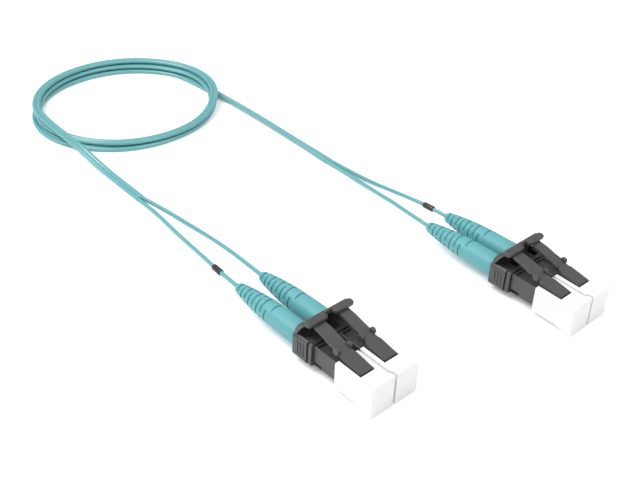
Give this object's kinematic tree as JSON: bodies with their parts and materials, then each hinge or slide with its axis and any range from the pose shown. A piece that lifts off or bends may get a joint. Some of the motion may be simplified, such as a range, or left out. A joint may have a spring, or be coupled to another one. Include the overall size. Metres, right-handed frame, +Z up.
{
  "type": "fiber optic patch cord",
  "caption": "Duplex fibre patch cord: joined-lobe cord coiled flat, ending at both sides in a latched duplex plug with dust cap.",
  "frame": {"origin": "on the surface, under the centre of the footprint of the two duplex plugs", "axes": "+X the way both plugs mate, +Z up, the cord's coil behind at -X"},
  "size_m": [0.1632, 0.0598, 0.0109],
  "materials": {
    "black_plastic": "fine matte moulded black polymer",
    "aqua_boot": "soft satin aqua elastomer",
    "white_cap": "milky soft translucent polymer, satin",
    "aqua_jacket": "smooth aqua cord jacket, satin",
    "marker_print": "glossy black shrunk sleeve",
    "zirconia": "polished white zirconia",
    "flange_metal": "turned nickel-plated metal",
    "spring_steel": "bright spring wire",
    "crimp_metal": "crimped plated metal"
  },
  "bodies": {
    "cord_and_plugs": {"plug_housing_a1": "black_plastic", "ferrule_spring_a1": "spring_steel", "rear_body_a1": "black_plastic", "crimp_sleeve_a1": "crimp_metal", "cable_core_a1": "aqua_jacket", "boot_a1": "aqua_boot", "plug_housing_a2": "black_plastic", "ferrule_spring_a2": "spring_steel", "rear_body_a2": "black_plastic", "crimp_sleeve_a2": "crimp_metal", "cable_core_a2": "aqua_jacket", "boot_a2": "aqua_boot", "duplex_clip_a": "black_plastic", "cord_leg_a1": "aqua_jacket", "cord_leg_a2": "aqua_jacket", "cord_tail_a": "aqua_jacket", "marker_band_a": "marker_print", "plug_housing_b1": "black_plastic", "ferrule_spring_b1": "spring_steel", "rear_body_b1": "black_plastic", "crimp_sleeve_b1": "crimp_metal", "cable_core_b1": "aqua_jacket", "boot_b1": "aqua_boot", "plug_housing_b2": "black_plastic", "ferrule_spring_b2": "spring_steel", "rear_body_b2": "black_plastic", "crimp_sleeve_b2": "crimp_metal", "cable_core_b2": "aqua_jacket", "boot_b2": "aqua_boot", "duplex_clip_b": "black_plastic", "cord_leg_b1": "aqua_jacket", "cord_leg_b2": "aqua_jacket", "cord_tail_b": "aqua_jacket", "marker_band_b": "marker_print", "cord_coil": "aqua_jacket"},
    "latch_a1": {"latch_lever_a1": "black_plastic"},
    "ferrule_a1": {"ferrule_a1": "zirconia", "ferrule_flange_a1": "flange_metal"},
    "latch_a2": {"latch_lever_a2": "black_plastic"},
    "ferrule_a2": {"ferrule_a2": "zirconia", "ferrule_flange_a2": "flange_metal"},
    "trigger_a": {"latch_trigger_a": "black_plastic"},
    "cap_a": {"dust_cap_a": "white_cap"},
    "latch_b1": {"latch_lever_b1": "black_plastic"},
    "ferrule_b1": {"ferrule_b1": "zirconia", "ferrule_flange_b1": "flange_metal"},
    "latch_b2": {"latch_lever_b2": "black_plastic"},
    "ferrule_b2": {"ferrule_b2": "zirconia", "ferrule_flange_b2": "flange_metal"},
    "trigger_b": {"latch_trigger_b": "black_plastic"},
    "cap_b": {"dust_cap_b": "white_cap"}
  },
  "joints": [
    {"name": "trigger_press_a", "type": "hinge", "parent": "cord_and_plugs", "child": "trigger_a", "pos_m": [-0.00485, -0.0236, 0.00715], "axis": [0, 1, 0], "range_deg": [0, 14], "stiffness_Nm_per_rad": 0.002},
    {"name": "latch_flex_a1", "type": "hinge", "parent": "cord_and_plugs", "child": "latch_a1", "pos_m": [0.0106, -0.02672, 0.00615], "axis": [0, -1, 0], "range_deg": [0, 5.24]},
    {"name": "latch_flex_a2", "type": "hinge", "parent": "cord_and_plugs", "child": "latch_a2", "pos_m": [0.0106, -0.02048, 0.00615], "axis": [0, -1, 0], "range_deg": [0, 5.24]},
    {"name": "ferrule_push_a1", "type": "slide", "parent": "cord_and_plugs", "child": "ferrule_a1", "axis": [-1, 0, 0], "range_m": [0, 0.0008], "stiffness_N_per_m": 1200, "deforming": ["ferrule_spring_a1"]},
    {"name": "ferrule_push_a2", "type": "slide", "parent": "cord_and_plugs", "child": "ferrule_a2", "axis": [-1, 0, 0], "range_m": [0, 0.0008], "stiffness_N_per_m": 1200, "deforming": ["ferrule_spring_a2"]},
    {"name": "cap_pull_a", "type": "slide", "parent": "cord_and_plugs", "child": "cap_a", "axis": [1, 0, 0], "range_m": [0, 0.014]},
    {"name": "trigger_press_b", "type": "hinge", "parent": "cord_and_plugs", "child": "trigger_b", "pos_m": [0.00485, 0.0236, 0.00715], "axis": [0, 1, 0], "range_deg": [0, 14], "stiffness_Nm_per_rad": 0.002},
    {"name": "latch_flex_b1", "type": "hinge", "parent": "cord_and_plugs", "child": "latch_b1", "pos_m": [0.0203, 0.02048, 0.00615], "axis": [0, -1, 0], "range_deg": [0, 5.24]},
    {"name": "latch_flex_b2", "type": "hinge", "parent": "cord_and_plugs", "child": "latch_b2", "pos_m": [0.0203, 0.02672, 0.00615], "axis": [0, -1, 0], "range_deg": [0, 5.24]},
    {"name": "ferrule_push_b1", "type": "slide", "parent": "cord_and_plugs", "child": "ferrule_b1", "axis": [-1, 0, 0], "range_m": [0, 0.0008], "stiffness_N_per_m": 1200, "deforming": ["ferrule_spring_b1"]},
    {"name": "ferrule_push_b2", "type": "slide", "parent": "cord_and_plugs", "child": "ferrule_b2", "axis": [-1, 0, 0], "range_m": [0, 0.0008], "stiffness_N_per_m": 1200, "deforming": ["ferrule_spring_b2"]},
    {"name": "cap_pull_b", "type": "slide", "parent": "cord_and_plugs", "child": "cap_b", "axis": [1, 0, 0], "range_m": [0, 0.014]}
  ],
  "couplings": [
    {"joint": "latch_flex_a1", "follows": "trigger_press_a", "ratio": 0.36},
    {"joint": "latch_flex_a2", "follows": "trigger_press_a", "ratio": 0.36},
    {"joint": "latch_flex_b1", "follows": "trigger_press_b", "ratio": 0.36},
    {"joint": "latch_flex_b2", "follows": "trigger_press_b", "ratio": 0.36}
  ]
}
